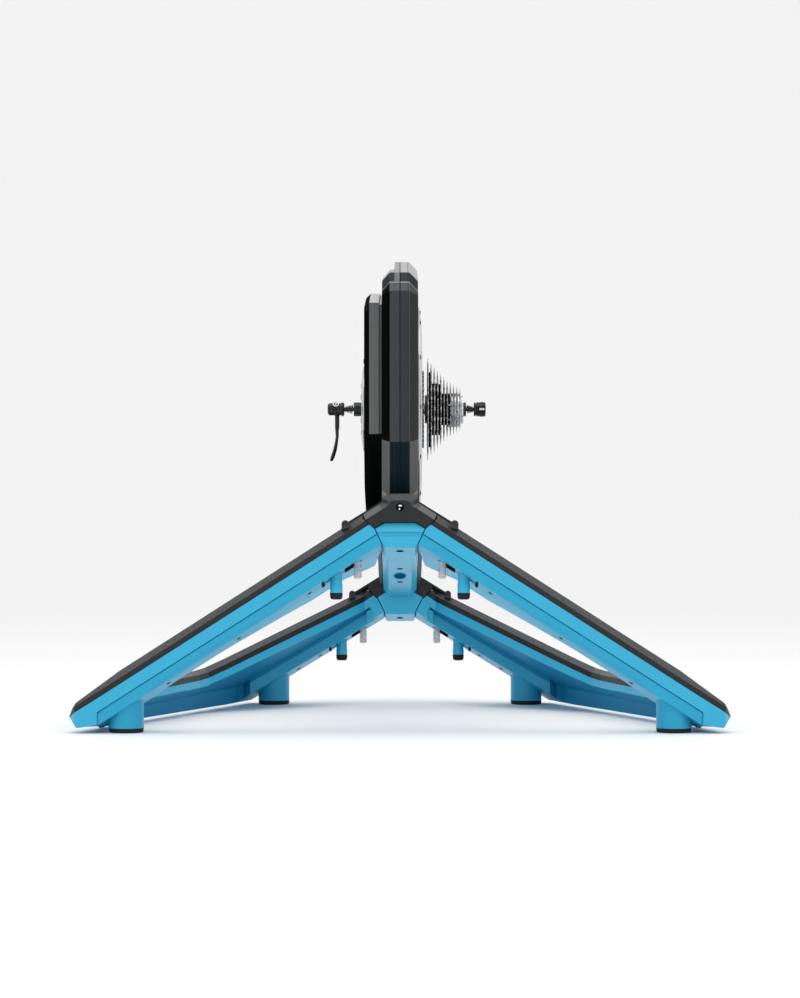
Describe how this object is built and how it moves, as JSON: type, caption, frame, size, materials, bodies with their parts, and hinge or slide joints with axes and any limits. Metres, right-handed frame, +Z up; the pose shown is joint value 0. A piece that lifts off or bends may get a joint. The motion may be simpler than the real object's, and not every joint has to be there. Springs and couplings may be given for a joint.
{
  "type": "direct drive bike trainer",
  "caption": "Folding direct drive bike trainer with a slim upright body, rear sprocket stack, quick release skewer and two folding wings on rubber feet.",
  "frame": {"origin": "middle of the footprint, on the ground", "axes": "+X to the drive side, +Y ahead, away from the bike's rear, +Z up"},
  "size_m": [0.75, 0.575, 0.55],
  "materials": {
    "body_black": "satin black",
    "cover_black": "gloss black",
    "bump_grey": "satin grey",
    "wing_blue": "satin sky blue",
    "rail_blue": "satin blue",
    "steel": "brushed",
    "dark_steel": "black oxide",
    "alloy": "satin",
    "copper": "varnished wire",
    "rubber": "matt",
    "clear_white": "translucent"
  },
  "bodies": {
    "frame": {"spine_frame": "wing_blue", "rear_hub_cap": "cover_black", "front_hub_cap": "cover_black", "body_shell_left": "body_black", "body_shell_right": "body_black", "motor_cover": "bump_grey", "drive_side_cover": "alloy", "axle": "alloy", "end_cap_left": "dark_steel", "end_cap_right": "dark_steel", "stator": "copper", "power_inlet": "dark_steel", "hinge_leaf_rear_left": "cover_black", "hinge_leaf_rear_right": "cover_black", "hinge_leaf_front_left": "cover_black", "hinge_leaf_front_right": "cover_black"},
    "rotor": {"rotor": "dark_steel", "magnet_ring": "steel", "bearing_left": "steel", "bearing_right": "steel"},
    "freehub": {"freehub_body": "dark_steel", "sprockets_28_25": "steel", "sprockets_23_19": "steel", "sprocket_17": "steel", "sprocket_15": "steel", "sprocket_14": "steel", "sprocket_13": "steel", "sprocket_12": "steel", "sprocket_11": "steel", "cassette_lockring": "alloy"},
    "skewer": {"skewer_rod": "steel", "skewer_barrel": "alloy", "spring_left": "steel", "spring_right": "steel"},
    "skewer_lever": {"skewer_lever": "cover_black"},
    "skewer_nut": {"skewer_nut": "cover_black"},
    "lock_rear_left": {"lock_post_rear_left": "wing_blue", "lock_tip_rear_left": "rubber"},
    "lock_front_left": {"lock_post_front_left": "wing_blue", "lock_tip_front_left": "rubber"},
    "wing_left": {"wing_shell_left": "wing_blue", "wing_cover_left": "cover_black", "rail_rear_left": "rail_blue", "foot_pad_rear_left": "rubber", "lock_catch_rear_left": "clear_white", "rail_front_left": "rail_blue", "foot_pad_front_left": "rubber", "lock_catch_front_left": "clear_white"},
    "lock_rear_right": {"lock_post_rear_right": "wing_blue", "lock_tip_rear_right": "rubber"},
    "lock_front_right": {"lock_post_front_right": "wing_blue", "lock_tip_front_right": "rubber"},
    "wing_right": {"wing_shell_right": "wing_blue", "wing_cover_right": "cover_black", "rail_rear_right": "rail_blue", "foot_pad_rear_right": "rubber", "lock_catch_rear_right": "clear_white", "rail_front_right": "rail_blue", "foot_pad_front_right": "rubber", "lock_catch_front_right": "clear_white"}
  },
  "joints": [
    {"name": "left_wing_fold", "type": "hinge", "parent": "frame", "child": "wing_left", "pos_m": [-0.0612, 0, 0.18523], "axis": [0, 0.9837, -0.18], "range_deg": [0, 120]},
    {"name": "right_wing_fold", "type": "hinge", "parent": "frame", "child": "wing_right", "pos_m": [0.0612, 0, 0.18523], "axis": [0, -0.9837, 0.18], "range_deg": [0, 120]},
    {"name": "rotor_spin", "type": "hinge", "parent": "frame", "child": "rotor", "pos_m": [0, -0.1525, 0.369], "axis": [1, 0, 0], "continuous": true},
    {"name": "freehub_spin", "type": "hinge", "parent": "rotor", "child": "freehub", "pos_m": [0, -0.1525, 0.369], "axis": [1, 0, 0], "continuous": true},
    {"name": "skewer_spin", "type": "hinge", "parent": "frame", "child": "skewer", "pos_m": [0, -0.1525, 0.369], "axis": [1, 0, 0], "continuous": true},
    {"name": "lever_swing", "type": "hinge", "parent": "skewer", "child": "skewer_lever", "pos_m": [-0.0755, -0.1525, 0.369], "axis": [0, 1, 0], "range_deg": [0, 180]},
    {"name": "nut_turn", "type": "hinge", "parent": "skewer", "child": "skewer_nut", "pos_m": [0, -0.1525, 0.369], "axis": [1, 0, 0], "continuous": true},
    {"name": "rear_left_lock_slide", "type": "slide", "parent": "wing_left", "child": "lock_rear_left", "axis": [-0.8507, 0, -0.5257], "range_m": [0, 0.006], "stiffness_N_per_m": 400},
    {"name": "front_left_lock_slide", "type": "slide", "parent": "wing_left", "child": "lock_front_left", "axis": [-0.8507, 0, -0.5257], "range_m": [0, 0.006], "stiffness_N_per_m": 400},
    {"name": "rear_right_lock_slide", "type": "slide", "parent": "wing_right", "child": "lock_rear_right", "axis": [0.8507, 0, -0.5257], "range_m": [0, 0.006], "stiffness_N_per_m": 400},
    {"name": "front_right_lock_slide", "type": "slide", "parent": "wing_right", "child": "lock_front_right", "axis": [0.8507, 0, -0.5257], "range_m": [0, 0.006], "stiffness_N_per_m": 400}
  ]
}
